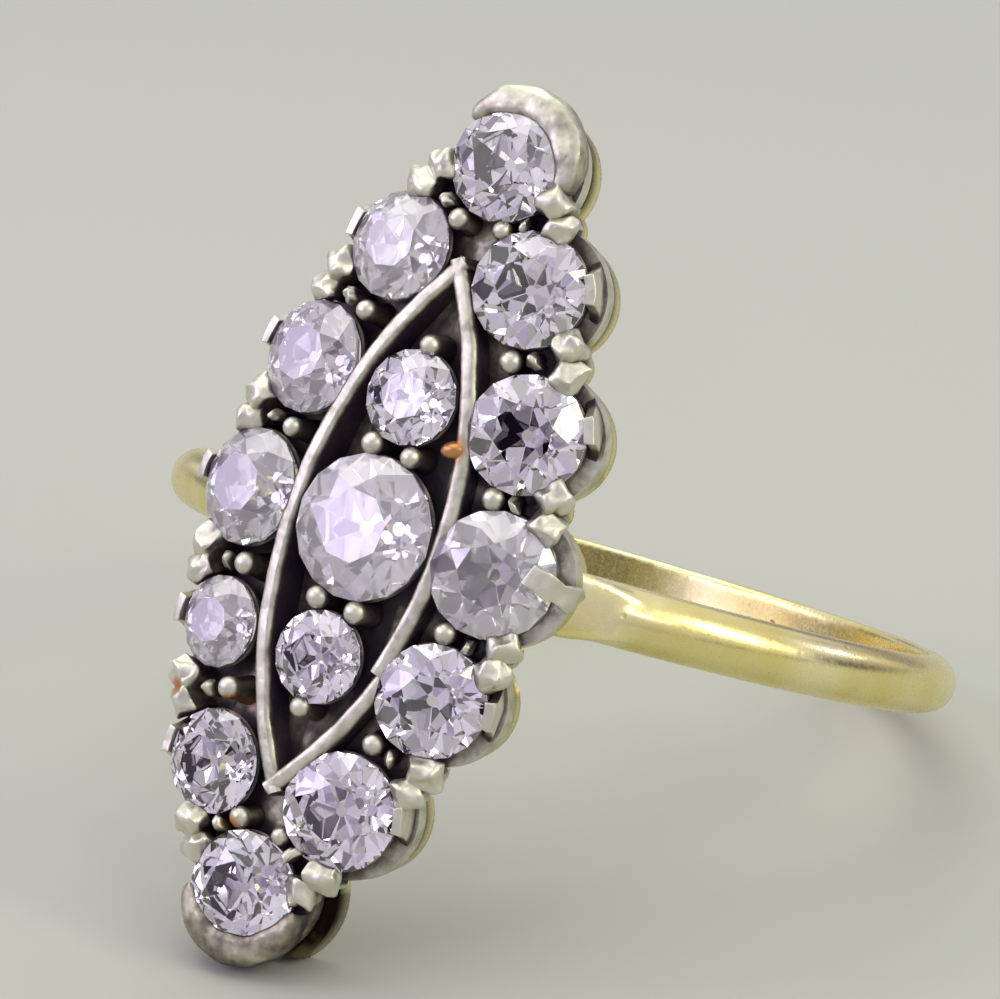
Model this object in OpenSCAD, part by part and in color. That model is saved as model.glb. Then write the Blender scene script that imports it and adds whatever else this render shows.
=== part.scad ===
// Diamond navette ring: a pointed oval cluster of fifteen old-cut stones in a silver setting,
// backed by a pierced gold plate on a thin gold shank. It lies on its side.
// In the ring's own frame the finger axis is Z and the head faces +X, with +Y to its right.
// Places on the head are [across, along], measured round the finger and along it,
// and heights there are measured outwards from the stones' girdles.

/* [Finger and shank] */
// Inside diameter of the shank
finger_d = 16.8; // [15.6:0.1:18.4]
// Width of the half-round band
shank_w = 1.3; // [1.2:0.05:1.6]
// Thickness of the band at its crown
shank_t = 0.8; // [0.75:0.05:1.1]
// How far the band sits below the middle of the head
shank_low = 0.38; // [0:0.02:0.6]
// Half of the opening that the band leaves behind the head, in degrees
shank_gap = 14; // [8:1:18]

/* [Head] */
// Height of the stones' girdles over the finger
head_h = 2.2; // [2.1:0.05:2.6]
// How much lower the end stones sit than the middle one
head_bow = 0.28; // [0.2:0.02:0.32]
// How far the head is turned on the shank, in degrees
head_turn = 4.7; // [0:0.1:6]
// Rim of silver outside the border stones
rim = 0.22; // [0.18:0.01:0.3]
// Clear space between the finger and the gold plate
plate_h = 0.6; // [0.5:0.05:0.7]
// Thickness of the gold plate
plate_t = 0.5; // [0.4:0.05:0.6]
// Rim of gold outside the border stones
plate_rim = 0.12; // [0.08:0.01:0.16]
// How far the plate sits to the right of the setting
plate_side = 0.1; // [0:0.02:0.14]
// Rim of gold round the lower tip stone
tip_rim = 0.4; // [0.36:0.01:0.42]
// How much is filed off the plate's lower tip
tip_cut = 0.3; // [0.26:0.01:0.32]
// How far askew the filed edge is, in degrees
tip_skew = 11; // [0:0.5:14]
// Thickness of the silver floor between the stones
floor_t = 0.32; // [0.25:0.01:0.4]
// Gap between neighbouring pieces
gap = 0.03; // [0.02:0.01:0.04]

/* [Raised pointed oval] */
// Half length of the raised silver wire
oval_l = 5.35; // [5:0.05:5.5]
// Half width of the raised silver wire
oval_w = 1.66; // [1.55:0.01:1.75]
// Thickness of the wire
wire_t = 0.34; // [0.28:0.02:0.4]
// Height of the wire's crest over the girdles
wire_h = 0.1; // [0:0.02:0.2]

/* [Claws] */
// Thickness of a claw
claw_t = 0.5; // [0.44:0.02:0.56]
// Thickness of a bead
bead_t = 0.44; // [0.38:0.02:0.48]
// Height of a claw's tip over the girdle
claw_h = 0.2; // [0.16:0.02:0.26]

/* [Stone cut] */
// Width of the table, as a share of the stone's diameter
table = 0.5; // [0.46:0.01:0.54]
// Height of the crown, as a share of the diameter
crown = 0.17; // [0.15:0.01:0.19]
// Height of the girdle, as a share of the diameter
girdle = 0.03; // [0.02:0.005:0.04]
// Depth of the pavilion, as a share of the diameter
pavilion = 0.4; // [0.38:0.01:0.42]
// Width of the culet, as a share of the diameter
culet = 0.1; // [0.06:0.01:0.12]

/* [How it lies] */
// Tilt of the head's face up from upright, in degrees
rest_pitch = 23.23; // [23.15:0.01:23.3]
// Lean to the side, in degrees
rest_roll = 4.85; // [4.6:0.05:5]
// Height of the finger's centre over the surface
rest_lift = 4.434; // [4.42:0.001:4.45]
// Distance from the finger's centre to the middle of the ring's extent, sideways
rest_side = 0.03; // [-0.1:0.01:0.1]
// The same distance, from front to back
rest_back = 2.372; // [2.3:0.001:2.45]

/* [Hidden] */

finger_r = finger_d / 2;
girdle_r = finger_r + head_h;
plate_r = finger_r + plate_h;
plate_top = plate_r + plate_t - girdle_r;
silver_low = plate_top + gap;
floor_top = silver_low + floor_t;
hole_share = 0.55;
head_half = 7.5;
tip_along = 7;
head_reach = 20;
n_claw = 6;
n_cut = 16;
n_fine = 96;

// Stones of the border in order round the head, then those of the middle row.
// Columns: node name, across, along, diameter, turn of its facets in degrees
border = [
    ["stone_top", 0.15, 7.55, 2.35, 4],
    ["stone_right_1", 1.52, 5.4, 2.3, 17],
    ["stone_right_2", 2.46, 2.78, 2.35, 31],
    ["stone_right_3", 2.78, 0.05, 2.5, 9],
    ["stone_right_4", 2.48, -2.65, 2.25, 38],
    ["stone_right_5", 1.5, -5.32, 2.35, 22],
    ["stone_bottom", 0.05, -7.5, 2.3, 13],
    ["stone_left_5", -1.52, -5.45, 2.1, 28],
    ["stone_left_4", -2.48, -2.85, 1.85, 2],
    ["stone_left_3", -2.88, -0.12, 2.4, 41],
    ["stone_left_2", -2.5, 2.74, 2.3, 12],
    ["stone_left_1", -1.46, 5.38, 2.2, 35]];
middle = [
    ["stone_upper", 0, 2.68, 1.9, 7],
    ["stone_centre", 0, 0, 2.9, 19],
    ["stone_lower", 0, -2.68, 1.85, 33]];
stones = concat(border, middle);

function place(s) = [s[1], s[2]];
function radius(s) = s[3] / 2;
function at_tip(s) = abs(s[2]) > tip_along;
function next(i) = border[(i + 1) % len(border)];
function unit(v) = v / norm(v);
function ray(angle) = [cos(angle), sin(angle)];
// How much lower the girdles are at a place than at the head's middle, and the slope there
function drop(p) = head_bow * pow(p[1] / head_half, 2);
function slope(p) = atan(2 * head_bow * p[1] / pow(head_half, 2));
// Middle of the gap between two neighbouring stones, and the way out of the head there
function between(a, b) = let (d = place(b) - place(a))
    place(a) + unit(d) * (norm(d) + radius(a) - radius(b)) / 2;
function outward(a, b) = let (d = unit(place(b) - place(a))) [-d[1], d[0]];

// Lays the ring down, with the head facing -Y and +X to its right
module lying() {
    translate([rest_side, rest_back, rest_lift])
        rotate([0, 0, -90]) rotate([-rest_roll, 0, 0]) rotate([0, -rest_pitch, 0]) children();
}

// Turns the head a little on the shank
module turned() {
    rotate([-head_turn, 0, 0]) children();
}

// Stands children on the head, with X across, Y along and Z outwards from the girdles
module on_head(p, h = 0) {
    rotate([0, 0, p[0] / girdle_r * 180 / PI]) translate([girdle_r - drop(p), 0, p[1]])
        rotate([0, -slope(p), 0]) rotate([90, 0, 90]) translate([0, 0, h]) children();
}

// Disc round a place on the head, as seen from the front on a sheet of a given radius
module disc(p, r, sheet_r, facets) {
    translate([sheet_r * sin(p[0] / girdle_r * 180 / PI), p[1]]) circle(r = r, $fn = facets);
}

// Scalloped outline of a sheet seen from the front, with pads for the claws between stones
module outline(edge, sheet_r, facets) {
    polygon([for (s = border) [sheet_r * sin(s[1] / girdle_r * 180 / PI), s[2]]]);
    for (s = border) disc(place(s), radius(s) + edge, sheet_r, facets);
    for (i = [0 : len(border) - 1]) {
        a = border[i];
        b = next(i);
        disc(between(a, b) + outward(a, b) * 0.45, bead_t, sheet_r, facets);
    }
}

// Sheet curved round the finger between two radii, cut to the outline given as its children
module sheet(inner, outer, facets) {
    intersection() {
        difference() {
            cylinder(r = outer, h = head_reach, center = true, $fn = 3 * facets);
            cylinder(r = inner, h = head_reach + 1, center = true, $fn = 3 * facets);
        }
        rotate([90, 0, 90]) linear_extrude(head_reach) children();
    }
}

// Half-round band, open behind the head
module band() {
    round_r = shank_w / 2;
    translate([0, 0, -shank_low]) rotate([0, 0, shank_gap])
        rotate_extrude(angle = 360 - 2 * shank_gap, $fn = 2 * n_fine) intersection() {
            translate([finger_r + shank_t - round_r, 0]) circle(r = round_r, $fn = n_fine);
            translate([finger_r, -shank_w]) square([2 * shank_t, 2 * shank_w]);
        }
}

// Solder and metal that run from the plate's edge down onto the band
module shoulder(side) {
    pad = [0.68 * plate_t, 0.2, shank_w + 0.2];
    toe = [0.3, 0.02, shank_w * 0.7];
    hull() {
        translate([0, 0, -shank_low]) rotate([0, 0, side * 21])
            translate([plate_r + plate_t / 2, 0, 0]) cube(pad, center = true);
        translate([0, 0, -shank_low]) rotate([0, 0, side * 33])
            translate([finger_r + shank_t - toe[0], 0, 0]) cube(toe, center = true);
    }
}

// Gold plate behind the setting, pierced behind each stone, its lower tip filed straight
module plate() {
    tip = border[6];
    sheet_r = plate_r + plate_t / 2;
    difference() {
        sheet(plate_r, plate_r + plate_t, n_fine) translate([plate_side, 0]) {
            outline(plate_rim, sheet_r, n_fine);
            disc(place(tip), radius(tip) + tip_rim, sheet_r, n_fine);
        }
        translate([0, tip[1], tip[2]]) rotate([tip_skew, 0, 0])
            translate([0, -tip[3], tip_cut - tip_rim - radius(tip) - tip[3]])
                cube([head_reach, 2 * tip[3], tip[3]]);
        for (s = stones)
            on_head(place(s), plate_top - 2 * plate_t)
                cylinder(r = hole_share * radius(s), h = 4 * plate_t, $fn = n_fine);
    }
}

module gold_mount() {
    color("goldenrod") lying() {
        band();
        for (side = [-1, 1]) shoulder(side);
        turned() plate();
    }
}

module ball(d) {
    sphere(d = d, $fn = n_claw);
}

// Rounded post from the plate up past the girdle, whose tip leans to another place
module post(foot, tip, t, h) {
    hull() {
        on_head(foot, silver_low + drop(foot) + t / 2) ball(t);
        on_head(foot, h - t / 2) ball(t);
        on_head(tip, h) ball(t * 0.7);
    }
}

// Broad claw on the side of a stone that faces out of the head
module outer_claw(s, angle) {
    out = ray(angle);
    post(place(s) + out * (radius(s) + 0.12), place(s) + out * (radius(s) - 0.1), claw_t, claw_h);
}

// Split claw in the notch between two stones: one lobe leans on each
module split_claw(a, b) {
    foot = between(a, b) + outward(a, b) * 0.58;
    for (s = [a, b]) {
        lean = unit(place(s) - foot);
        root = foot + lean * 0.12;
        post(root, place(s) - unit(place(s) - root) * (radius(s) - 0.12), bead_t, claw_h);
    }
}

// Small round bead that pins the edges of the stones on either side of it
module bead(p) {
    hull() {
        on_head(p, floor_top + drop(p)) ball(bead_t);
        on_head(p, claw_h - bead_t / 4) ball(bead_t);
    }
}

// Smooth beak that wraps the end of a tip stone
module beak(s) {
    t = 0.56;
    steps = 6;
    middle_angle = s[2] > 0 ? 90 : -90;
    function spot(k) = place(s) + ray(middle_angle - 70 + 140 * k / steps) * (radius(s) + 0.06);
    for (k = [0 : steps - 1]) hull() for (p = [spot(k), spot(k + 1)]) {
        on_head(p, silver_low + drop(p) + t / 2) ball(t);
        on_head(p, claw_h - t / 3) ball(t);
    }
}

// Thin collar round a stone, drawn in towards the plate
module collet(s) {
    low = floor_top - 0.1 + drop(place(s));
    on_head(place(s), low)
        cylinder(r1 = radius(s) - 0.3, r2 = radius(s) + 0.1, h = -low - 0.04, $fn = n_cut);
}

// Room for a stone: its crown, girdle and pavilion with clearance, and the hole below it
module seat(s) {
    r = radius(s);
    d = 2 * r;
    half = girdle * d / 2 + gap;
    edge = (r + gap) / cos(180 / n_cut);
    ease = 0.08;
    low = silver_low + drop(place(s)) - 2 * ease;
    high = half + crown * d + ease;
    on_head(place(s)) rotate_extrude($fn = n_cut)
        polygon([[0, low], [hole_share * r, low], [edge, -half], [edge, half], [table * r + ease, high], [0, high]]);
}

// Raised pointed oval of wire between the border and the middle row: two arcs with a crest
module oval_wire() {
    steps = 8;
    arc_r = (oval_l * oval_l + oval_w * oval_w) / (2 * oval_w);
    reach = asin(oval_l / arc_r) + 1;
    shoulder_h = wire_h - 0.14;
    // Columns: share of the half thickness, height above the floor's top or over the girdles
    section = [[-1, -0.1], [-1, shoulder_h], [0, wire_h], [1, shoulder_h], [1, -0.1]];
    n = len(section);
    function spot(angle, side, off) =
        [side * ((arc_r + off) * cos(angle) - arc_r + oval_w), (arc_r + off) * sin(angle)];
    function level(k, p) = k == 0 || k == n - 1 ? floor_top + drop(p) + section[k][1] : section[k][1];
    function head_point(p, h) = concat((girdle_r - drop(p) + h) * ray(p[0] / girdle_r * 180 / PI), p[1]);
    for (side = [-1, 1]) {
        points = [for (i = [-steps : steps]) for (k = [0 : n - 1])
            let (p = spot(reach * i / steps, side, side * section[k][0] * wire_t / 2)) head_point(p, level(k, p))];
        walls = [for (i = [0 : 2 * steps - 1]) for (k = [0 : n - 1])
            [i * n + k, (i + 1) * n + k, (i + 1) * n + (k + 1) % n, i * n + (k + 1) % n]];
        ends = [[for (k = [0 : n - 1]) k], [for (k = [n - 1 : -1 : 0]) 2 * steps * n + k]];
        polyhedron(points, concat(walls, ends));
    }
}

module silver_setting() {
    color("silver") lying() turned() difference() {
        union() {
            sheet(girdle_r + silver_low, girdle_r + floor_top, n_cut)
                outline(rim, girdle_r + (silver_low + floor_top) / 2, n_cut);
            oval_wire();
            for (s = stones) collet(s);
            for (i = [0 : len(border) - 1]) {
                split_claw(border[i], next(i));
                bead(between(border[i], next(i)) - outward(border[i], next(i)) * 0.28);
            }
            for (s = border) if (at_tip(s)) beak(s);
            for (s = border) if (!at_tip(s)) outer_claw(s, s[1] > 0 ? 18 : 162);
            for (end = [-1, 1]) {
                small = middle[1 - end];
                gap_along = end * (radius(middle[1]) + small[2] * end - radius(small)) / 2;
                for (side = [-1, 1]) bead([side * 0.44, gap_along]);
                bead([0, small[2] + end * (radius(small) + 0.12)]);
            }
        }
        for (s = stones) seat(s);
    }
}

// Old brilliant cut: eight-sided table, stars, kites and halves over the girdle,
// mains and halves below it, and a small culet
module stone(s) {
    d = s[3];
    half = girdle * d / 2;
    r = [culet * d / 2, 0.56 * d / 2, d / 2, d / 2, 0.74 * d / 2, table * d / 2];
    top_slope = crown * d / (r[3] - r[5]);
    low_slope = pavilion * d / (r[2] - r[0]);
    // Points on the planes of the kites and mains, so that those facets are flat
    star_z = half + crown * d - top_slope * (r[4] * cos(22.5) - r[5]);
    half_z = -half - low_slope * (r[2] - r[1] * cos(22.5));
    culet_z = -half - low_slope * (r[2] - r[0] * cos(22.5));
    function ring(n, radius, start, z) = [for (k = [0 : n - 1]) concat(radius * ray(start + k * 360 / n), z)];
    points = concat(
        ring(8, r[5], 0, half + crown * d), ring(8, r[4], 22.5, star_z),
        ring(16, r[3], 0, half), ring(16, r[2], 0, -half),
        ring(8, r[1], 22.5, half_z), ring(8, r[0], 22.5, culet_z));
    function t(k) = k % 8;
    function st(k) = 8 + k % 8;
    function up(k) = 16 + k % 16;
    function dn(k) = 32 + k % 16;
    function lo(k) = 48 + k % 8;
    function cu(k) = 56 + k % 8;
    faces = concat(
        [[for (k = [7 : -1 : 0]) t(k)], [for (k = [0 : 7]) cu(k)]],
        [for (k = [0 : 7]) [t(k), t(k + 1), st(k)]],
        [for (k = [0 : 7]) [t(k), st(k), up(2 * k), st(k + 7)]],
        [for (k = [0 : 7]) [st(k), up(2 * k + 1), up(2 * k)]],
        [for (k = [0 : 7]) [st(k), up(2 * k + 2), up(2 * k + 1)]],
        [for (k = [0 : 15]) [up(k), up(k + 1), dn(k + 1), dn(k)]],
        [for (k = [0 : 7]) [lo(k), dn(2 * k), dn(2 * k + 1)]],
        [for (k = [0 : 7]) [lo(k), dn(2 * k + 1), dn(2 * k + 2)]],
        [for (k = [0 : 7]) [dn(2 * k), lo(k), cu(k), cu(k + 7), lo(k + 7)]]);
    color("lavender") lying() turned() on_head(place(s)) rotate(s[4]) polyhedron(points, faces);
}

gold_mount();
silver_setting();
for (s = stones) stone(s);
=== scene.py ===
# Diamond navette ring lying on its side: old-cut stones in tarnished silver on a thin gold shank
import math
import random
import bmesh
import bpy
from mathutils import Matrix, Vector, noise


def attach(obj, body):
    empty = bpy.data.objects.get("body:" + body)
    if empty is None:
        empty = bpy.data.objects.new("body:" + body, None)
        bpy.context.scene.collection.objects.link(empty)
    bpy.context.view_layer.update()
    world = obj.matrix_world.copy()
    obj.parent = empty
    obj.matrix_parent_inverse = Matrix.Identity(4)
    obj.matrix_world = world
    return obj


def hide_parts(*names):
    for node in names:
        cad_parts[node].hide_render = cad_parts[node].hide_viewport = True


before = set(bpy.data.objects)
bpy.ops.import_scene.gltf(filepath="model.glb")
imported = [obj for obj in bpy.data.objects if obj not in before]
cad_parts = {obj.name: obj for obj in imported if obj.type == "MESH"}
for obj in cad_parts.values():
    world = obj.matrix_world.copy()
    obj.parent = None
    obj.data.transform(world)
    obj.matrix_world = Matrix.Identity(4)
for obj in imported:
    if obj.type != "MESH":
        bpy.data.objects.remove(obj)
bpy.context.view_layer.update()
print("frame loaded with", len(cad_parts), "nodes")

# Everything is shaped in millimetres, with the head laid out flat: X across, Y along, Z up from the girdles.
# It is then wrapped round the finger, stood in the ring's frame and laid down in metres.
mm = 0.001
random.seed(7)
noise.seed_set(7)

head = {
    "girdleRadius": 10.6,   # finger axis to the girdle of the middle stone
    "bow": 0.28,            # how much lower the tip stones sit
    "halfLength": 7.5,
    "turn": 4.7,            # degrees that the head is turned on the shank
}
rest = {
    "pitch": 23.23, "roll": 4.85,                # degrees that the band leans back and to the side
    "side": 0.03, "back": 2.372, "lift": 4.434,  # mm to the middle of the finger hole
}

# across, along, diameter of each stone
stones = {
    "stone_top": (0.15, 7.55, 2.35),
    "stone_right_1": (1.52, 5.4, 2.3),
    "stone_right_2": (2.46, 2.78, 2.35),
    "stone_right_3": (2.78, 0.05, 2.5),
    "stone_right_4": (2.48, -2.65, 2.25),
    "stone_right_5": (1.5, -5.32, 2.35),
    "stone_bottom": (0.05, -7.5, 2.3),
    "stone_left_5": (-1.52, -5.45, 2.1),
    "stone_left_4": (-2.48, -2.85, 1.85),
    "stone_left_3": (-2.88, -0.12, 2.4),
    "stone_left_2": (-2.5, 2.74, 2.3),
    "stone_left_1": (-1.46, 5.38, 2.2),
    "stone_upper": (0, 2.68, 1.9),
    "stone_centre": (0, 0, 2.9),
    "stone_lower": (0, -2.68, 1.85),
}
middleRow = ("stone_upper", "stone_centre", "stone_lower")
border = [name for name in stones if name not in middleRow]

layRing = (
    Matrix.Scale(mm, 4) @ Matrix.Translation((rest["side"], rest["back"], rest["lift"]))
    @ Matrix.Rotation(math.radians(-90), 4, "Z") @ Matrix.Rotation(math.radians(-rest["roll"]), 4, "X")
    @ Matrix.Rotation(math.radians(-rest["pitch"]), 4, "Y")
)
layHead = layRing @ Matrix.Rotation(math.radians(-head["turn"]), 4, "X")


# Camera: a 100 mm lens from in front and above, found from the outlines of the stones and the shank
cameraPlace = {
    "at": (25.92, -50.543, 28.207),                 # mm
    "heading": 27.59, "down": 20.75, "lean": 1.06,  # degrees
    "lens": 100,                                    # mm, on a sensor 36 mm wide
}
bpy.ops.object.camera_add()
camera = bpy.context.object
camera.matrix_world = (
    Matrix.Translation([value * mm for value in cameraPlace["at"]])
    @ Matrix.Rotation(math.radians(cameraPlace["heading"]), 4, "Z")
    @ Matrix.Rotation(math.radians(90 - cameraPlace["down"]), 4, "X")
    @ Matrix.Rotation(math.radians(cameraPlace["lean"]), 4, "Z")
)
camera.name = "camera"
camera.data.lens = cameraPlace["lens"]
camera.data.sensor_width = 36
camera.data.clip_start = 0.001
bpy.context.scene.camera = camera


# Materials
def linear(hexColour):
    parts = [int(hexColour[i:i + 2], 16) / 255 for i in (1, 3, 5)]
    return [p / 12.92 if p <= 0.04045 else ((p + 0.055) / 1.055) ** 2.4 for p in parts] + [1]


def addNode(tree, kind, sockets=None, **settings):
    node = tree.nodes.new("ShaderNode" + kind)
    for key, value in settings.items():
        setattr(node, key, value)
    for key, value in (sockets or {}).items():
        if isinstance(value, bpy.types.NodeSocket):
            tree.links.new(value, node.inputs[key])
        else:
            node.inputs[key].default_value = value
    return node


def newMaterial(name):
    material = bpy.data.materials.new(name)
    material.use_nodes = True
    tree = material.node_tree
    shader = next(n for n in tree.nodes if n.type == "BSDF_PRINCIPLED")
    return material, tree, shader


def ramp(tree, value, stops):
    node = addNode(tree, "ValToRGB", {"Fac": value})
    elements = node.color_ramp.elements
    while len(elements) < len(stops):
        elements.new(0.5)
    for element, (place, colour) in zip(elements, stops):
        element.position = place
        element.color = linear(colour)
    return node.outputs["Color"]


# Noise scale for a pattern that repeats every so many mm
def scaleFor(size):
    return 1 / (size * mm)


# Sterling silver, cast and filed by hand: bright where hands rub it, and brown to near black with sulphide
# in the hollows, in patches with a soft edge
silverLook = {
    # the dark colours also serve as painted shade on the collets and the lower beak
    "bright": "#dadac8", "dull": "#b0ad97", "brown": "#655a4f", "tarnishAndShade": "#3a343f", "solder": "#cb9560",
    "hollow": 0.55,         # mm over which a hollow darkens
    "blotches": 0.35,       # mm between patches of tarnish
    "patchiness": 0.8,      # how unevenly they lie
    "filing": 0.12,         # mm between file and wear marks
    "waviness": 0.5,        # mm between the soft dents
    "sheen": (0.32, 0.56),  # roughness, rubbed and filed
}


def tarnishedSilver():
    look = silverLook
    material, tree, shader = newMaterial("tarnished_sterling_silver")
    place = addNode(tree, "TexCoord").outputs["Object"]
    hollow = addNode(tree, "AmbientOcclusion", {"Distance": look["hollow"] * mm}, samples=4).outputs["AO"]
    worn = addNode(tree, "Attribute", attribute_name="wear").outputs["Fac"]
    copper = addNode(tree, "Attribute", attribute_name="solder").outputs["Fac"]
    blotch = addNode(tree, "TexNoise", {"Vector": place, "Scale": scaleFor(look["blotches"]), "Detail": 5.0})
    filing = addNode(tree, "TexNoise", {"Vector": place, "Scale": scaleFor(look["filing"]), "Detail": 4.0})
    dents = addNode(tree, "TexNoise", {"Vector": place, "Scale": scaleFor(look["waviness"]), "Detail": 2.0})
    marks = filing.outputs["Fac"]

    # How far the tarnish is rubbed off; where a piece's wear is held low to keep it dark, as on the collets
    # and the lower beak, this also paints shade
    exposed = addNode(tree, "Math", {0: hollow, 1: worn}, operation="MULTIPLY").outputs[0]
    uneven = addNode(tree, "Math", {0: blotch.outputs["Fac"], 1: 0.5}, operation="SUBTRACT").outputs[0]
    exposed = addNode(tree, "Math", {0: uneven, 1: look["patchiness"], 2: exposed},
                      operation="MULTIPLY_ADD").outputs[0]
    colour = ramp(tree, exposed, [(0.15, look["tarnishAndShade"]), (0.3, look["brown"]),
                                  (0.5, look["dull"]), (0.75, look["bright"])])
    colour = addNode(tree, "Mix", {"Factor": copper, "A": colour, "B": linear(look["solder"])},
                     data_type="RGBA")
    tree.links.new(colour.outputs["Result"], shader.inputs["Base Color"])
    metal = addNode(tree, "MapRange", {"Value": exposed, "From Min": 0.15, "From Max": 0.45,
                                       "To Min": 0.2, "To Max": 1.0})
    tree.links.new(metal.outputs["Result"], shader.inputs["Metallic"])
    rough = addNode(tree, "MapRange", {"Value": marks, "From Min": 0.3, "From Max": 0.7,
                                       "To Min": look["sheen"][0], "To Max": look["sheen"][1]})
    tree.links.new(rough.outputs["Result"], shader.inputs["Roughness"])
    soft = addNode(tree, "Bump", {"Height": dents.outputs["Fac"], "Strength": 0.35, "Distance": 0.12 * mm})
    fine = addNode(tree, "Bump", {"Height": marks, "Strength": 0.25, "Distance": 0.02 * mm,
                                  "Normal": soft.outputs["Normal"]})
    tree.links.new(fine.outputs["Normal"], shader.inputs["Normal"])
    return material


# Yellow gold, drawn and polished by hand long ago: soft wear waves, a few pits, and brown grime
# in the hollows
goldLook = {
    "gold": "#e7d88a", "pale": "#f3ebb6", "grime": "#6a5226", "sootAndShade": "#1d160f",
    "hollow": 0.4,        # mm over which a hollow darkens
    "waves": 1.6,         # mm between the wear waves
    "wear": 0.1,          # mm between the finest marks
    "pits": 0.9,          # mm between pits
    "sheen": (0.2, 0.3),  # roughness
}


def polishedYellowGold():
    look = goldLook
    material, tree, shader = newMaterial("polished_yellow_gold")
    place = addNode(tree, "TexCoord").outputs["Object"]
    hollow = addNode(tree, "AmbientOcclusion", {"Distance": look["hollow"] * mm}, samples=4).outputs["AO"]
    sootAndShade = addNode(tree, "Attribute", attribute_name="sootAndShade").outputs["Fac"]
    swell = addNode(tree, "TexNoise", {"Vector": place, "Scale": scaleFor(look["waves"]), "Detail": 3.0})
    marks = addNode(tree, "TexNoise", {"Vector": place, "Scale": scaleFor(look["wear"]), "Detail": 4.0})
    pits = addNode(tree, "TexVoronoi", {"Vector": place, "Scale": scaleFor(look["pits"]), "Randomness": 1.0})
    waves = swell.outputs["Fac"]
    fine = marks.outputs["Fac"]

    tone = ramp(tree, waves, [(0.35, look["gold"]), (0.7, look["pale"])])
    clean = ramp(tree, hollow, [(0.2, "#000000"), (0.5, "#ffffff")])
    colour = addNode(tree, "Mix", {"Factor": clean, "A": linear(look["grime"]), "B": tone}, data_type="RGBA")
    # Soot darkens the plate and the inside of the band; at the plate's lower tip it is painted contact shade
    patchy = addNode(tree, "Math", {0: waves, 1: 0.7}, operation="SUBTRACT").outputs[0]
    sootAndShade = addNode(tree, "Math", {0: sootAndShade, 1: 1.2, 2: patchy}, operation="MULTIPLY_ADD").outputs[0]
    colour = addNode(tree, "Mix", {"Factor": sootAndShade, "A": colour.outputs["Result"], "B": linear(look["sootAndShade"])},
                     data_type="RGBA")
    tree.links.new(colour.outputs["Result"], shader.inputs["Base Color"])
    shader.inputs["Metallic"].default_value = 1
    rough = addNode(tree, "MapRange", {"Value": fine, "From Min": 0.3, "From Max": 0.7,
                                       "To Min": look["sheen"][0], "To Max": look["sheen"][1]})
    tree.links.new(rough.outputs["Result"], shader.inputs["Roughness"])
    pit = addNode(tree, "MapRange", {"Value": pits.outputs["Distance"], "From Min": 0.0, "From Max": 0.09})
    dent = addNode(tree, "Bump", {"Height": pit.outputs["Result"], "Strength": 0.5, "Distance": 0.03 * mm})
    soft = addNode(tree, "Bump", {"Height": waves, "Strength": 0.2, "Distance": 0.1 * mm,
                                  "Normal": dent.outputs["Normal"]})
    last = addNode(tree, "Bump", {"Height": fine, "Strength": 0.05, "Distance": 0.01 * mm,
                                  "Normal": soft.outputs["Normal"]})
    tree.links.new(last.outputs["Normal"], shader.inputs["Normal"])
    return material


# Old mine and European cut diamond: flat polished facets that throw white, lilac and dark patches.
# Wear and fine inclusions make some of the stones milky. Smears begin at the given level of their noise.
tintPatch = 1.3      # mm between pale and lilac tints
smearPatch = 0.25    # mm between smears
diamondLooks = {
    "clear_old_cut_diamond": {"pale": "#fbf9ff", "lilac": "#f0e6ff", "clarity": 1.0, "smears": 0.6},
    "milky_old_cut_diamond": {"pale": "#fdfcff", "lilac": "#f4f0ff", "clarity": 0.84, "smears": 0.45},
}


def oldCutDiamond(name):
    look = diamondLooks[name]
    material, tree, shader = newMaterial(name)
    place = addNode(tree, "TexCoord").outputs["Object"]
    cloud = addNode(tree, "TexNoise", {"Vector": place, "Scale": scaleFor(tintPatch), "Detail": 2.0})
    smear = addNode(tree, "TexNoise", {"Vector": place, "Scale": scaleFor(smearPatch), "Detail": 3.0})
    colour = ramp(tree, cloud.outputs["Fac"], [(0.35, look["pale"]), (0.65, look["lilac"])])
    tree.links.new(colour, shader.inputs["Base Color"])
    rough = addNode(tree, "MapRange", {"Value": smear.outputs["Fac"], "From Min": look["smears"],
                                       "From Max": 0.8, "To Min": 0.0, "To Max": 0.08})
    tree.links.new(rough.outputs["Result"], shader.inputs["Roughness"])
    shader.inputs["Transmission Weight"].default_value = look["clarity"]
    shader.inputs["IOR"].default_value = 2.42
    shader.distribution = "GGX"
    return material


silver = tarnishedSilver()
gold = polishedYellowGold()
clearDiamond = oldCutDiamond("clear_old_cut_diamond")
milkyDiamond = oldCutDiamond("milky_old_cut_diamond")
print("materials made")


# Modelling helpers
def begin(primitive, **settings):
    bpy.ops.object.select_all(action="DESELECT")
    primitive(**settings)
    part = bpy.context.object
    bpy.ops.object.transform_apply(location=True, rotation=True, scale=True)
    bpy.ops.object.mode_set(mode="EDIT")
    bpy.ops.mesh.select_mode(type="FACE")
    bpy.ops.mesh.select_all(action="DESELECT")
    return part


def end(part):
    bpy.ops.object.mode_set(mode="OBJECT")
    return part


def pick(part, test):
    bpy.ops.mesh.select_all(action="DESELECT")
    mesh = bmesh.from_edit_mesh(part.data)
    for face in mesh.faces:
        if test(face):
            face.select_set(True)
    mesh.select_flush_mode()
    bmesh.update_edit_mesh(part.data)


def extrude(by, scale=None, centre=None):
    bpy.ops.mesh.extrude_region_move(TRANSFORM_OT_translate={"value": by})
    if scale:
        bpy.ops.transform.resize(value=scale, center_override=centre)


def modify(part, kind, **settings):
    modifier = part.modifiers.new(kind.lower(), kind)
    for key, value in settings.items():
        setattr(modifier, key, value)
    bpy.context.view_layer.objects.active = part
    bpy.ops.object.modifier_apply(modifier=modifier.name)


# Gives a part the uneven surface of hand work
def dent(part, depth, size):
    for vertex in part.data.vertices:
        vertex.co += noise.noise_vector(vertex.co / size) * depth


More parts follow.
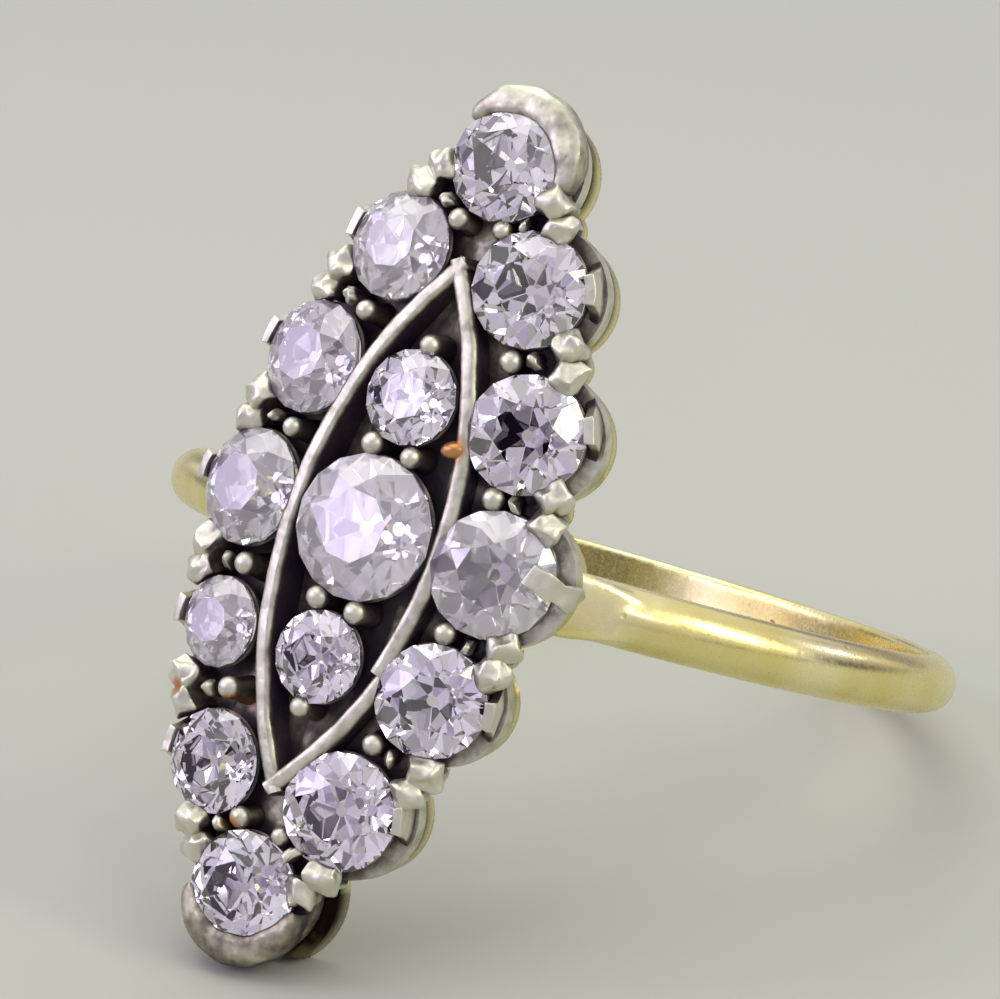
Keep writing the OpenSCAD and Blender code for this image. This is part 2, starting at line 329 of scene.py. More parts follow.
def layers(part, heights):
    bpy.context.view_layer.objects.active = part
    bpy.ops.object.mode_set(mode="EDIT")
    for z in heights:
        bpy.ops.mesh.select_all(action="SELECT")
        bpy.ops.mesh.bisect(plane_co=(0, 0, z), plane_no=(0, 0, 1))
    bpy.ops.object.mode_set(mode="OBJECT")


def stamp(part, matrix):
    twin = part.copy()
    twin.data = part.data.copy()
    bpy.context.scene.collection.objects.link(twin)
    twin.data.transform(matrix)
    return twin


def drop(part):
    bpy.data.objects.remove(part, do_unlink=True)


def joinAll(parts, name):
    bpy.ops.object.select_all(action="DESELECT")
    for part in parts:
        part.select_set(True)
    bpy.context.view_layer.objects.active = parts[0]
    bpy.ops.object.join()
    whole = bpy.context.object
    whole.name = name
    return whole


def turnTo(x, y, angle=0.0, size=(1, 1, 1), z=0.0):
    return Matrix.Translation((x, y, z)) @ Matrix.Rotation(angle, 4, "Z") @ Matrix.Diagonal((*size, 1))


# Curves a flat part round the finger. A bowed part follows the girdles, a sheet keeps its radius.
def wrapBowed(part):
    radius = head["girdleRadius"]
    for vertex in part.data.vertices:
        x, y, z = vertex.co
        reach = radius - head["bow"] * (y / head["halfLength"]) ** 2 + z
        vertex.co = (reach * math.cos(x / radius), reach * math.sin(x / radius), y)


def wrapSheet(part):
    for vertex in part.data.vertices:
        x, y, z = vertex.co
        reach = head["girdleRadius"] + z
        vertex.co = (math.sqrt(reach * reach - x * x), x, y)


# Wear grows from next to nothing on the floor to full on what stands proud of the stones, and a sheet's outer
# edge is worn too. Solder marks the few spots where a repair has left copper coloured metal.
wearMarks = {"least": 0.05, "edge": 0.7, "edgeRise": 20}
# across, along, reach of each spot
solderSpots = [(1.23, 2.05, 0.34), (-0.56, -6.41, 0.24), (-2.83, -4.38, 0.22), (-1.52, -4.23, 0.24)]


# Heights of wear passed in can hold a piece dark: on the collets and the lower beak that dark is partly
# painted shade
def markWear(part, low=-0.5, high=0.0, rim=0.3, sheetRadius=head["girdleRadius"]):
    wear = part.data.attributes.new("wear", "FLOAT", "POINT")
    solder = part.data.attributes.new("solder", "FLOAT", "POINT")
    for i, vertex in enumerate(part.data.vertices):
        x, y, z = vertex.co
        x *= head["girdleRadius"] / sheetRadius
        outside = min(math.hypot(x - s[0], y - s[1]) - s[2] / 2 for s in stones.values()) - rim
        edge = min(wearMarks["edge"], outside * wearMarks["edgeRise"])
        wear.data[i].value = min(1, max(wearMarks["least"], (z - low) / (high - low), edge))
        near = [2 - 2 * math.hypot(x - a, y - b) / reach for a, b, reach in solderSpots]
        solder.data[i].value = min(1, max(near))


# Soot lies all over the plate but for the back of its outer edge, which fingers keep clean.
# The lower tip, where the ring lies on the floor, is darker still: painted contact shade.
sootAndShadeMarks = {"rise": 8, "inset": 0.12, "tipFrom": -7, "tipCleanInShade": 0.4}


def markSootAndShade(part, sizes):
    sootAndShade = part.data.attributes.new("sootAndShade", "FLOAT", "POINT")
    low, high = sizes["low"], sizes["high"]
    sheetRadius = head["girdleRadius"] + (low + high) / 2
    centres = [(projected(x, sheetRadius), y, diameter / 2) for x, y, diameter in stones.values()]
    for i, vertex in enumerate(part.data.vertices):
        x, y, z = vertex.co
        outside = min(math.hypot(x - a, y - b) - radius for a, b, radius in centres)
        clean = min(1, max(0, sootAndShadeMarks["rise"] * (outside - sizes["rim"] + sootAndShadeMarks["inset"])))
        clean *= (high - z) / (high - low)
        # painted contact shade: the lower tip keeps less of its clean gold
        if y < sootAndShadeMarks["tipFrom"]:
            clean *= sootAndShadeMarks["tipCleanInShade"]
        sootAndShade.data[i].value = 1 - clean


def finishPiece(part, name, lay, material, replaced, angle=35):
    part.name = name
    part.data.transform(lay)
    part.data.materials.clear()
    part.data.materials.append(material)
    bpy.ops.object.select_all(action="DESELECT")
    part.select_set(True)
    bpy.context.view_layer.objects.active = part
    bpy.ops.object.shade_smooth_by_angle(angle=math.radians(angle))
    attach(part, "root")
    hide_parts(replaced)
    print(name, len(part.data.polygons), "faces")


def projected(x, sheetRadius):
    return sheetRadius * math.sin(x / head["girdleRadius"])


def neighbours():
    pairs = []
    for i, name in enumerate(border):
        pairs.append((stones[name], stones[border[(i + 1) % len(border)]]))
    return pairs


# Middle of the gap between two stones, and the way out of the head there
def between(a, b):
    start, end = Vector(a[:2]), Vector(b[:2])
    apart = end - start
    middle = start + apart.normalized() * (apart.length + a[2] / 2 - b[2] / 2) / 2
    along = apart.normalized()
    return middle, Vector((-along.y, along.x))


# Sheets: the gold back plate and the silver floor share one scalloped outline, with a small disc
# in each notch. Heights are from the girdles, and a hole is a share of its stone.
notchPad = {"out": 0.45, "radius": 0.44}
stripWidth = 0.42    # strips that let a flat sheet curve smoothly
plateSizes = {
    "low": -1.6, "high": -1.1, "rim": 0.12, "aside": 0.1, "hole": 0.55, "edge": 0.06,
    "tipRim": 0.4, "filed": 0.3, "askew": 11,    # the lower tip is filed straight, and the ring rests on it
}
floorSizes = {
    "low": -1.07, "high": -0.75, "rim": 0.22, "aside": 0.0, "hole": 0.6, "edge": 0.04, "wornFrom": 0.18,
}


def modelSheet(sizes):
    low, high, aside = sizes["low"], sizes["high"], sizes["aside"]
    depth = high - low
    middle = (low + high) / 2
    sheetRadius = head["girdleRadius"] + middle
    sheet = begin(bpy.ops.mesh.primitive_circle_add, vertices=len(border), radius=1, fill_type="NGON")
    mesh = bmesh.from_edit_mesh(sheet.data)
    ring = sorted(mesh.verts, key=lambda v: -math.atan2(v.co.x, -v.co.y) % (2 * math.pi))
    corners = sorted(border, key=lambda n: -math.atan2(stones[n][0], -stones[n][1]) % (2 * math.pi))
    for vertex, name in zip(ring, corners):
        vertex.co = (projected(stones[name][0], sheetRadius) + aside, stones[name][1], low)
    bmesh.update_edit_mesh(sheet.data)
    bpy.ops.mesh.select_all(action="SELECT")
    extrude((0, 0, depth))
    bpy.ops.mesh.select_all(action="SELECT")
    bpy.ops.mesh.normals_make_consistent(inside=False)
    end(sheet)
    pads = [(stones[name][0], stones[name][1], stones[name][2] / 2 + sizes["rim"]) for name in border]
    for a, b in neighbours():
        middlePlace, out = between(a, b)
        spot = middlePlace + out * notchPad["out"]
        pads.append((spot.x, spot.y, notchPad["radius"]))
    tip = stones["stone_bottom"]
    if "filed" in sizes:
        pads.append((tip[0], tip[1], tip[2] / 2 + sizes["tipRim"]))
    for x, y, radius in pads:
        place = (projected(x, sheetRadius) + aside, y, middle)
        disc = end(begin(bpy.ops.mesh.primitive_cylinder_add, vertices=64, radius=radius, depth=depth,
                         location=place))
        modify(sheet, "BOOLEAN", object=disc, operation="UNION", solver="EXACT")
        drop(disc)
    if "filed" in sizes:
        turn = math.radians(sizes["askew"])
        up = Vector((-math.sin(turn), math.cos(turn), 0))
        edge = Vector((tip[0], tip[1], 0)) - up * (tip[2] / 2 + sizes["tipRim"] - sizes["filed"])
        bpy.ops.object.mode_set(mode="EDIT")
        bpy.ops.mesh.select_all(action="SELECT")
        bpy.ops.mesh.bisect(plane_co=edge, plane_no=up, clear_inner=True, use_fill=True)
        bpy.ops.object.mode_set(mode="OBJECT")
    for x, y, diameter in stones.values():
        place = (projected(x, sheetRadius), y, middle)
        pin = end(begin(bpy.ops.mesh.primitive_cylinder_add, vertices=48, radius=sizes["hole"] * diameter / 2,
                        depth=3 * depth, location=place))
        modify(sheet, "BOOLEAN", object=pin, operation="DIFFERENCE", solver="EXACT")
        drop(pin)
    modify(sheet, "BEVEL", width=sizes["edge"], segments=2, limit_method="ANGLE",
           angle_limit=math.radians(50))
    bpy.ops.object.mode_set(mode="EDIT")
    for i in range(-10, 11):
        bpy.ops.mesh.select_all(action="SELECT")
        bpy.ops.mesh.bisect(plane_co=(i * stripWidth, 0, 0), plane_no=(1, 0, 0))
    bpy.ops.object.mode_set(mode="OBJECT")
    return sheet


plate = modelSheet(plateSizes)
markSootAndShade(plate, plateSizes)
wrapSheet(plate)
finishPiece(plate, "gold_plate", layHead, gold, "gold_mount")

floor = modelSheet(floorSizes)
floorRadius = head["girdleRadius"] + (floorSizes["low"] + floorSizes["high"]) / 2
markWear(floor, rim=floorSizes["wornFrom"], sheetRadius=floorRadius)
wrapSheet(floor)
finishPiece(floor, "silver_floor", layHead, silver, "silver_setting")


# Shank: a half-round band, open behind the head, with a shoulder at each end
shankSizes = {
    "width": 1.3, "thickness": 0.8, "inside": 8.4, "edge": 0.07,
    "low": 0.38,     # how far it sits below the middle of the head
    "gap": 14,       # degrees left open on each side of the head's middle
    "voxel": 0.07,   # grain of the mesh that melts band and shoulders together
}


def modelShank(sizes):
    roundRadius = sizes["width"] / 2
    band = begin(bpy.ops.mesh.primitive_circle_add, vertices=40, radius=roundRadius, fill_type="NGON",
                 location=(sizes["inside"] + sizes["thickness"] - roundRadius, 0, -sizes["low"]),
                 rotation=(math.radians(90), 0, 0))
    bpy.ops.mesh.select_all(action="SELECT")
    bpy.ops.mesh.bisect(plane_co=(sizes["inside"], 0, 0), plane_no=(1, 0, 0), clear_inner=True, use_fill=True)
    bpy.ops.mesh.select_all(action="SELECT")
    bpy.ops.mesh.remove_doubles(threshold=0.001)
    bpy.ops.mesh.select_mode(type="VERT")
    bpy.ops.mesh.select_all(action="DESELECT")
    mesh = bmesh.from_edit_mesh(band.data)
    for vertex in mesh.verts:
        if abs(vertex.co.x - sizes["inside"]) < 0.001:
            vertex.select_set(True)
    bmesh.update_edit_mesh(band.data)
    bpy.ops.mesh.bevel(offset=sizes["edge"], segments=4, affect="VERTICES")
    bpy.ops.mesh.select_mode(type="FACE")
    bpy.ops.mesh.select_all(action="SELECT")
    sweep = math.radians(360 - 2 * sizes["gap"])
    bpy.ops.mesh.spin(steps=220, angle=sweep, center=(0, 0, 0), axis=(0, 0, 1))
    bpy.ops.mesh.select_all(action="SELECT")
    bpy.ops.mesh.remove_doubles(threshold=0.0005)
    bpy.ops.mesh.normals_make_consistent(inside=False)
    end(band)
    band.data.transform(Matrix.Rotation(-math.radians(sizes["gap"]), 4, "Z"))
    return band


# A shoulder starts as a pad at the plate, and each step takes it along the band and thinner
shoulderSizes = {
    "start": 21,            # degrees from the head's middle
    "overlap": 0.015,       # radians that it starts before
    "radius": 9.25, "thickness": 0.34, "length": 0.3, "wider": 0.2, "edge": 0.12,
    "steps": ((0.1, 0.75, 0.95, 0.9), (0.42, 1.1, 0.8, 0.72)),   # inward, along, thinner, narrower
}


def modelShoulder(sizes, side):
    width, low = shankSizes["width"], shankSizes["low"]
    radius, along = sizes["radius"], 0
    pad = begin(bpy.ops.mesh.primitive_cube_add, size=1, location=(radius, 0, -low),
                scale=(sizes["thickness"], sizes["length"], width + sizes["wider"]))
    pick(pad, lambda face: face.normal.y > 0.9)
    for inward, ahead, thinner, narrower in sizes["steps"]:
        radius -= inward
        along += ahead
        extrude((-inward, ahead, 0), (thinner, 1, narrower), (radius, along, -low))
    end(pad)
    modify(pad, "BEVEL", width=sizes["edge"], segments=2)
    modify(pad, "SUBSURF", levels=2, render_levels=2)
    pad.data.transform(Matrix.Rotation(math.radians(sizes["start"]) - sizes["overlap"], 4, "Z"))
    if side < 0:
        pad.data.transform(Matrix.Diagonal((1, -1, 1, 1)))
        pad.data.flip_normals()
    return pad


# Grime stays inside the band on the side of the head, where a finger never rubs
grimeMarks = {
    "to": 110, "fade": 25,           # degrees from the head's middle
    "above": 0.13, "rise": 0.1,      # mm
    "most": 0.55,                    # share of full soot
}


def markGrime(part):
    sootAndShade = part.data.attributes.new("sootAndShade", "FLOAT", "POINT")
    top = shankSizes["inside"] + grimeMarks["above"]
    for i, vertex in enumerate(part.data.vertices):
        x, y, z = vertex.co
        inner = min(1, max(0, (top - math.hypot(x, y)) / grimeMarks["rise"]))
        turn = abs(math.degrees(math.atan2(y, x)))
        near = min(1, max(0, (grimeMarks["to"] - turn) / grimeMarks["fade"]))
        sootAndShade.data[i].value = grimeMarks["most"] * inner * near


shoulders = [modelShoulder(shoulderSizes, side) for side in (1, -1)]
shank = joinAll([modelShank(shankSizes)] + shoulders, "gold_shank")
modify(shank, "REMESH", mode="VOXEL", voxel_size=shankSizes["voxel"])
modify(shank, "SMOOTH", factor=0.5, iterations=12)
markGrime(shank)
finishPiece(shank, "gold_shank", layRing, gold, "gold_mount")


# Collets: a thin drawn-in collar under each stone, its top hidden by the stone's edge. Their dark tarnish is
# also painted shade for the gap round each stone.
colletSizes = {"top": -0.12, "sunk": 0.1, "drawnIn": 0.3, "proud": 0.02, "wall": 0.08, "edge": 0.02}
colletWearAndShade = (-0.9, 1.1)    # heights of wear that leave a wall dull and its foot dark
noEdge = math.inf       # rim of a part that has no worn outer edge


def modelCollet(sizes, x, y, diameter):
    radius = diameter / 2
    low = floorSizes["high"] - sizes["sunk"] + head["bow"] * (y / head["halfLength"]) ** 2
    top = sizes["top"]
    collet = begin(bpy.ops.mesh.primitive_cone_add, vertices=48, radius1=radius - sizes["drawnIn"],
                   radius2=radius + sizes["proud"], depth=top - low, location=(x, y, (top + low) / 2),
                   end_fill_type="NOTHING")
    bpy.ops.mesh.select_all(action="SELECT")
    bpy.ops.mesh.subdivide(number_cuts=1)
    end(collet)
    modify(collet, "SOLIDIFY", thickness=sizes["wall"], offset=-1)
    modify(collet, "BEVEL", width=sizes["edge"], segments=2, limit_method="ANGLE",
           angle_limit=math.radians(40))
    return collet


collets = joinAll([modelCollet(colletSizes, *stone) for stone in stones.values()], "silver_collets")
# These heights keep the collets dark: tarnish, and painted shade for the gap round each stone
markWear(collets, *colletWearAndShade, noEdge)
wrapBowed(collets)
finishPiece(collets, "silver_collets", layHead, silver, "silver_setting")


# Claws: two worn lobes in each notch with a dark slot between them, one for each stone, and thin ribs behind.
# A lobe is modelled with X towards its stone and Y along the stone's edge.
clawSizes = {
    "footDepth": 0.495, "footWidth": 0.528, "foot": -1.0, "waist": -0.35, "back": 0.08, "edge": 0.14,
    # height of each step, its lean towards the stone, how much deeper and wider it gets, and its middle
    "steps": ((0.0, 0.02, 1.3, 1.25, -0.06), (0.13, 0.04, 1.0, 1.0, -0.02), (0.3, 0.08, 0.55, 0.6, 0.06)),
    "nod": 0.1, "nodFrom": 0.05, "nodOver": 0.2,    # the nose droops on its stone
}
clawPlace = {
    "out": 0.78, "apart": 0.3,                             # mm out of the head, and to each side of the slot
    "ribOut": (0.05, 0.2), "ribSize": (0.42, 0.3, 0.75),
    "scatter": 0.12, "twist": 0.15,                        # share of its size, radians
}


def modelClaw(sizes):
    foot, top = sizes["foot"], sizes["waist"]
    claw = begin(bpy.ops.mesh.primitive_cube_add, size=1, location=(-sizes["back"], 0, (foot + top) / 2),
                 scale=(sizes["footDepth"], sizes["footWidth"], top - foot))
    pick(claw, lambda face: face.normal.z > 0.9)
    for height, lean, deeper, wider, middle in sizes["steps"]:
        extrude((lean, 0, height - top), (deeper, wider, 1), (middle, 0, height))
        top = height
    end(claw)
    modify(claw, "BEVEL", width=sizes["edge"], segments=2)
    modify(claw, "SUBSURF", levels=2, render_levels=2)
    modify(claw, "SMOOTH", factor=0.5, iterations=5)
    knee = sizes["steps"][0][0]
    for vertex in claw.data.vertices:
        reach = max(0, vertex.co.x - sizes["nodFrom"]) / sizes["nodOver"]
        vertex.co.z -= sizes["nod"] * reach * max(0, vertex.co.z - knee) / (top - knee)
    return claw


def clawAt(claw, root, target, size=(1, 1, 1)):
    way = Vector(target) - Vector(root)
    scatter, twist = clawPlace["scatter"], clawPlace["twist"]
    jitter = [1 + random.uniform(-scatter, scatter) for _ in range(3)]
    angle = math.atan2(way.y, way.x) + random.uniform(-twist, twist)
    twin = stamp(claw, turnTo(root[0], root[1], angle, [s * j for s, j in zip(size, jitter)]))
    dent(twin, 0.1, 0.3)
    return twin


plainClaw = modelClaw(clawSizes)
claws = []
for a, b in neighbours():
    middlePlace, out = between(a, b)
    along = Vector((out.y, -out.x))
    for stone, side in ((a, -1), (b, 1)):
        root = middlePlace + out * clawPlace["out"] + along * side * clawPlace["apart"]
        claws.append(clawAt(plainClaw, root, stone[:2]))
        spot = middlePlace + out * random.uniform(*clawPlace["ribOut"])
        claws.append(clawAt(plainClaw, spot, stone[:2], clawPlace["ribSize"]))
drop(plainClaw)
claws = joinAll(claws, "silver_claws")
markWear(claws)
wrapBowed(claws)
finishPiece(claws, "silver_claws", layHead, silver, "silver_setting")


# Outer claws: a leaf of silver bent round the outside of each stone, broad at the floor and narrow at the top
leafSizes = {
    "thickness": 0.2, "width": 1.5, "topShare": 0.4, "low": -0.95, "top": 0.24, "off": 0.17,
    "lean": 0.26, "leanFrom": 0.55,    # it leans in over the stone above this share of its height
}
# degrees round each stone
leafAngles = {
    "stone_right_1": 19,
    "stone_right_2": 24,
    "stone_right_4": 8,
    "stone_right_5": 14,
    "stone_left_1": 173,
    "stone_left_2": 171,
    "stone_left_3": 178,
    "stone_left_4": 184,
    "stone_left_5": 178,
}


def modelLeaf(sizes, stone, facing):
    x, y, diameter = stone
    low = sizes["low"] + head["bow"] * (y / head["halfLength"]) ** 2
    height = sizes["top"] - low
    leaf = begin(bpy.ops.mesh.primitive_cube_add, size=1, scale=(sizes["thickness"], sizes["width"], height))
    bpy.ops.mesh.select_all(action="SELECT")
    bpy.ops.mesh.subdivide(number_cuts=7)
    end(leaf)
    around = diameter / 2 + sizes["off"]
    for vertex in leaf.data.vertices:
        share = min(1, max(0, vertex.co.z / height + 0.5))
        narrow = 1 - (1 - sizes["topShare"]) * min(1, share * 1.15) ** 0.7
        reach = around + vertex.co.x - sizes["lean"] * max(0, share - sizes["leanFrom"])
        turn = facing + vertex.co.y * narrow / around
        vertex.co = (x + reach * math.cos(turn), y + reach * math.sin(turn), low + height * share)
    dent(leaf, 0.05, 0.5)
    modify(leaf, "BEVEL", width=0.08, segments=3, limit_method="ANGLE", angle_limit=math.radians(50))
    return leaf


# The right side's middle stone has a knuckled rod in place of a leaf, which runs out to the shank's shoulder
rodSizes = {
    "from": (3.55, 0.33, 0.4), "heading": -15, "length": 0.26, "width": 0.44, "height": 0.2,
    # ahead, down, wider
    "steps": ((0.26, 0.1, 1.15), (0.16, 0.12, 0.78), (0.2, 0.15, 1.4), (0.2, 0.22, 1.0), (0.1, 0.4, 0.7)),
}


def modelRod(sizes):
    x, y, z = sizes["from"]
    rod = begin(bpy.ops.mesh.primitive_cube_add, size=1, location=(0, 0, z),
                scale=(sizes["length"], sizes["width"], sizes["height"]))
    pick(rod, lambda face: face.normal.x > 0.9)
    reach = sizes["length"] / 2
    for ahead, down, wider in sizes["steps"]:
        reach += ahead
        z -= down
        extrude((ahead, 0, -down), (1, wider, wider), (reach, 0, z))
    end(rod)
    modify(rod, "BEVEL", width=0.08, segments=2)
    modify(rod, "SUBSURF", levels=2, render_levels=2)
    dent(rod, 0.05, 0.3)
    rod.data.transform(turnTo(x, y, math.radians(sizes["heading"])))
    return rod


leaves = [modelLeaf(leafSizes, stones[name], math.radians(angle)) for name, angle in leafAngles.items()]
leaves = joinAll(leaves + [modelRod(rodSizes)], "silver_outer_claws")
markWear(leaves)
wrapBowed(leaves)
finishPiece(leaves, "silver_outer_claws", layHead, silver, "silver_setting")


# Beads: small balls on necks, pushed against the stones' edges, and a drop of solder on the oval
beadSizes = {
    "diameter": 0.44, "foot": -0.85, "top": 0.2,
    "inward": 0.33,                      # mm in from the notch
    "apart": 0.44, "off": 0.12,          # mm between the pair in the middle row, and off its small stones
    "solder": (1.23, 2.02), "solderSize": (1.25, 0.85, 1),
}


def modelBead(sizes):
    diameter, foot, top = sizes["diameter"], sizes["foot"], sizes["top"]
    bead = begin(bpy.ops.mesh.primitive_uv_sphere_add, segments=20, ring_count=12, radius=diameter / 2,
                 location=(0, 0, top - diameter / 2))
    pick(bead, lambda face: face.calc_center_median().z < top - 0.8 * diameter)
    extrude((0, 0, foot - top + diameter), (1.6, 1.6, 0.3), (0, 0, foot))
    return end(bead)


def beadAt(bead, x, y):
    turn = random.uniform(0, 6)
    width = random.uniform(0.9, 1.1)
    return stamp(bead, turnTo(x, y, turn, (width, width, 1)))


plainBead = modelBead(beadSizes)
beads = []
for a, b in neighbours():
    middlePlace, out = between(a, b)
    spot = middlePlace - out * beadSizes["inward"]
    beads.append(beadAt(plainBead, spot.x, spot.y))
for side, small in ((1, stones["stone_upper"]), (-1, stones["stone_lower"])):
    gapAlong = side * (stones["stone_centre"][2] / 2 + abs(small[1]) - small[2] / 2) / 2
    beads.append(beadAt(plainBead, beadSizes["apart"], gapAlong))
    beads.append(beadAt(plainBead, -beadSizes["apart"], gapAlong))
    beads.append(beadAt(plainBead, 0, small[1] + side * (small[2] / 2 + beadSizes["off"])))
beads.append(stamp(plainBead, turnTo(*beadSizes["solder"], 0.4, beadSizes["solderSize"])))
drop(plainBead)
beads = joinAll(beads, "silver_beads")
markWear(beads)
wrapBowed(beads)
finishPiece(beads, "silver_beads", layHead, silver, "silver_setting")


# Beaks: a smooth crescent lip of silver that wraps the end of each tip stone and thins out at its ends
beakSizes = {
    "thickness": 0.74, "off": 0.06, "low": -0.92, "top": 0.27, "spread": 160,
    "thinShare": 0.25, "lowShare": 0.8,    # what is left of its thickness and height at the ends
}


def modelBeak(sizes, stone, facing):
    x, y, diameter = stone
    radius = diameter / 2 + sizes["off"]
    low = sizes["low"] + head["bow"]
    height = sizes["top"] - low
    half = math.radians(sizes["spread"] / 2)
    beak = begin(bpy.ops.mesh.primitive_circle_add, vertices=24, radius=0.5, fill_type="NGON",
                 rotation=(math.radians(90), 0, 0))
    for vertex in bmesh.from_edit_mesh(beak.data).verts:    # a squared circle
        vertex.co *= 0.5 / (vertex.co.x ** 4 + vertex.co.z ** 4) ** 0.25
    bpy.ops.mesh.select_all(action="SELECT")
    bpy.ops.transform.resize(value=(sizes["thickness"], 1, height), center_override=(0, 0, 0))
    bpy.ops.transform.translate(value=(radius, 0, (low + sizes["top"]) / 2))
    bpy.ops.mesh.spin(steps=40, angle=2 * half, center=(0, 0, 0), axis=(0, 0, 1))
    bpy.ops.mesh.select_all(action="SELECT")
    bpy.ops.mesh.remove_doubles(threshold=0.0005)
    bpy.ops.mesh.normals_make_consistent(inside=False)
    end(beak)
    dent(beak, 0.05, 0.5)
    for vertex in beak.data.vertices:
        turn = -math.atan2(vertex.co.y, vertex.co.x)
        full = math.sin(min(math.pi, max(0, turn) / (2 * half) * math.pi)) ** 0.4
        reach = math.hypot(vertex.co.x, vertex.co.y)
        reach = radius + (reach - radius) * (sizes["thinShare"] + (1 - sizes["thinShare"]) * full)
        height = (vertex.co.z - low) * (sizes["lowShare"] + (1 - sizes["lowShare"]) * full)
        turn = facing + half - turn
        vertex.co = (x + reach * math.cos(turn), y + reach * math.sin(turn), low + height)
    return beak


# name, stone, degrees that it faces, heights of its wear: the lower beak is browner, a painted reflection of
# shade from the floor
beaks = (
    ("silver_top_beak", "stone_top", 70, (-1.2, 1.0)),
    ("silver_bottom_beak", "stone_bottom", -82, (-0.9, 1.45)),
)
for name, stone, facing, worn in beaks:
    beak = modelBeak(beakSizes, stones[stone], math.radians(facing))
    # For the lower beak these heights keep it darker and browner: painted reflection of shade
    markWear(beak, *worn, noEdge)
    wrapBowed(beak)
    finishPiece(beak, name, layHead, silver, "silver_setting")


# Raised pointed oval: two bent strips with a worn crest
ovalSizes = {
    "halfLength": 5.35, "halfWidth": 1.66, "thickness": 0.35, "crest": 0.12, "low": -0.85, "round": 0.12,
    "worn": (-0.1, 0.2),
    # the mend in the right arm, as shares of the half length, and degrees that the lower strip is turned
    "lowerEnd": -0.38, "upperStart": -0.44, "askew": -3,
}


def modelArm(sizes, side, start=-1.0, stop=1.0):
    length, width = sizes["halfLength"], sizes["halfWidth"]
    arcRadius = (length ** 2 + width ** 2) / (2 * width)
    reach = math.asin(length / arcRadius) + math.radians(1)
    height = sizes["crest"] - sizes["low"]
    middle = (arcRadius, 0, sizes["low"] + height / 2)
    arm = begin(bpy.ops.mesh.primitive_plane_add, size=1, location=middle, rotation=(math.radians(90), 0, 0))
    bpy.ops.mesh.select_all(action="SELECT")
    bpy.ops.transform.resize(value=(sizes["thickness"], 1, height), center_override=middle)
    bpy.ops.mesh.select_mode(type="VERT")
    bpy.ops.mesh.select_all(action="DESELECT")
    mesh = bmesh.from_edit_mesh(arm.data)
    for vertex in mesh.verts:
        if vertex.co.z > 0:
            vertex.select_set(True)
    bmesh.update_edit_mesh(arm.data)
    bpy.ops.mesh.bevel(offset=sizes["round"], segments=5, affect="VERTICES")
    bpy.ops.mesh.select_mode(type="FACE")
    bpy.ops.mesh.select_all(action="SELECT")
    bpy.ops.mesh.spin(steps=48, angle=(stop - start) * reach, center=(0, 0, 0), axis=(0, 0, 1))
    bpy.ops.mesh.select_all(action="SELECT")
    bpy.ops.mesh.remove_doubles(threshold=0.0005)
    bpy.ops.mesh.normals_make_consistent(inside=False)
    end(arm)
    dent(arm, 0.03, 0.6)
    arm.data.transform(Matrix.Translation((width - arcRadius, 0, 0)) @ Matrix.Rotation(stop * reach, 4, "Z"))
    if side < 0:
        arm.data.transform(Matrix.Diagonal((-1, 1, 1, 1)))
        arm.data.flip_normals()
    return arm


# The right arm was mended: it is two strips, and the lower one stands a little further out where they meet
lowerArm = modelArm(ovalSizes, 1, -1.0, ovalSizes["lowerEnd"])
foot = Matrix.Translation((0, -ovalSizes["halfLength"], 0))
lowerArm.data.transform(foot @ Matrix.Rotation(math.radians(ovalSizes["askew"]), 4, "Z") @ foot.inverted())
upperArm = modelArm(ovalSizes, 1, ovalSizes["upperStart"], 1.0)
oval = joinAll([upperArm, lowerArm, modelArm(ovalSizes, -1)], "silver_oval")
layers(oval, (-0.45, -0.2, -0.07, 0.0))
markWear(oval, *ovalSizes["worn"], noEdge)
wrapBowed(oval)
finishPiece(oval, "silver_oval", layHead, silver, "silver_setting")


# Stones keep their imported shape, whose facets are true, and take the diamond
milkyStones = (
    "stone_centre", "stone_left_1", "stone_left_2", "stone_left_3", "stone_left_4", "stone_right_3",
)
for name in stones:
    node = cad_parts[name]
    node.data.materials.clear()
    node.data.materials.append(milkyDiamond if name in milkyStones else clearDiamond)
print("stones dressed")


# Plain pale floor and soft studio light
studio = {
    "card": "#abaea3", "cardRoughness": 0.7, "cardSize": 3,       # m
    "brightness": 0.84,
    "darkSide": (0.22, -0.87, 0.44), "darkFrom": 0.18, "darkTo": 0.42,
    "sparks": 6, "sparkAway": 230, "sparkSize": 10, "sparkPower": 0.025,    # mm, mm, watts
    "sparkHeights": (150, 230, 90),
    "sparkColours": ("#f3e2ff", "#fff6e6", "#e0dcff"),
}
begin(bpy.ops.mesh.primitive_plane_add, size=studio["cardSize"], location=(0, 0, 0))
ground = end(bpy.context.object)
ground.name = "floor"
paper, paperTree, paperShader = newMaterial("pale_card")
paperShader.inputs["Base Color"].default_value = linear(studio["card"])
paperShader.inputs["Roughness"].default_value = studio["cardRoughness"]
ground.data.materials.append(paper)

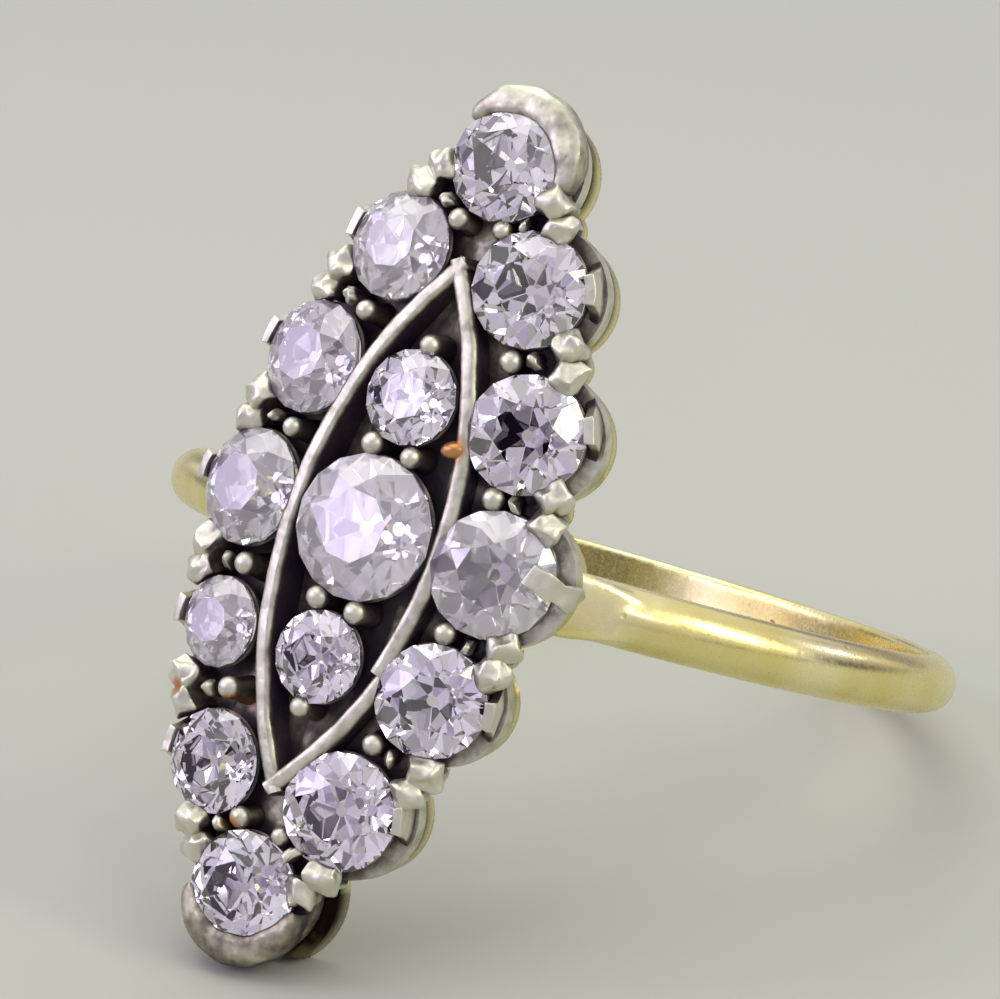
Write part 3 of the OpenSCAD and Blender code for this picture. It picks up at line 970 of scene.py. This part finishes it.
# Surroundings: a pale ceiling, uneven walls and one dark patch in front, which facets need to show their cut
world = bpy.data.worlds.new("studio")
bpy.context.scene.world = world
world.use_nodes = True
room = world.node_tree
background = next(n for n in room.nodes if n.type == "BACKGROUND")
toward = addNode(room, "TexCoord").outputs["Generated"]
height = addNode(room, "SeparateXYZ", {"Vector": toward}).outputs["Z"]
patches = addNode(room, "TexNoise", {"Vector": toward, "Scale": 3.2, "Detail": 1.5}).outputs["Fac"]
height = addNode(room, "Math", {0: patches, 1: 1.6, 2: height}, operation="MULTIPLY_ADD").outputs[0]
walls = ramp(room, addNode(room, "Math", {0: height, 1: 0.5}, operation="MULTIPLY").outputs[0],
             [(0.3, "#38333f"), (0.42, "#8d8698"), (0.52, "#d6cfe0"), (0.64, "#fffdff")])
beside = addNode(room, "VectorMath", {0: toward, 1: studio["darkSide"]}, operation="DISTANCE")
beside = addNode(room, "MapRange", {"Value": beside.outputs["Value"], "From Min": studio["darkFrom"],
                                    "From Max": studio["darkTo"]})
surroundings = addNode(room, "Mix", {"Factor": beside.outputs["Result"], "A": linear("#141118"), "B": walls},
                       data_type="RGBA")
room.links.new(surroundings.outputs["Result"], background.inputs["Color"])
background.inputs["Strength"].default_value = studio["brightness"]

lamps = {
    # name: place in mm, size in mm, watts, colour
    "overhead": ((-60, 40, 260), 240, 0.3, "#fffef8"),
    "left": ((-220, -120, 120), 150, 0.16, "#e9d8ff"),
    "front": ((-143, -229, 131), 100, 0.1, "#e6d2ff"),
    "right": ((240, 10, 150), 110, 0.2, "#f4f3d6"),
}
# Small bright lamps in a ring, for the points of light in the stones
for i in range(studio["sparks"]):
    turn = math.radians(-150 + 40 * i)
    away = studio["sparkAway"]
    place = (away * math.cos(turn), away * math.sin(turn), studio["sparkHeights"][i % 3])
    colour = studio["sparkColours"][i % 3]
    lamps["spark_%d" % (i + 1)] = (place, studio["sparkSize"], studio["sparkPower"], colour)
for name, (place, size, power, colour) in lamps.items():
    bpy.ops.object.light_add(type="AREA", location=[value * mm for value in place])
    lamp = bpy.context.object
    lamp.name = name
    lamp.data.size = size * mm
    lamp.data.energy = power
    lamp.data.color = linear(colour)[:3]
    lamp.rotation_euler = (-Vector(place)).to_track_quat("-Z", "Y").to_euler()
bpy.context.scene.view_settings.view_transform = "Standard"
print("studio set")
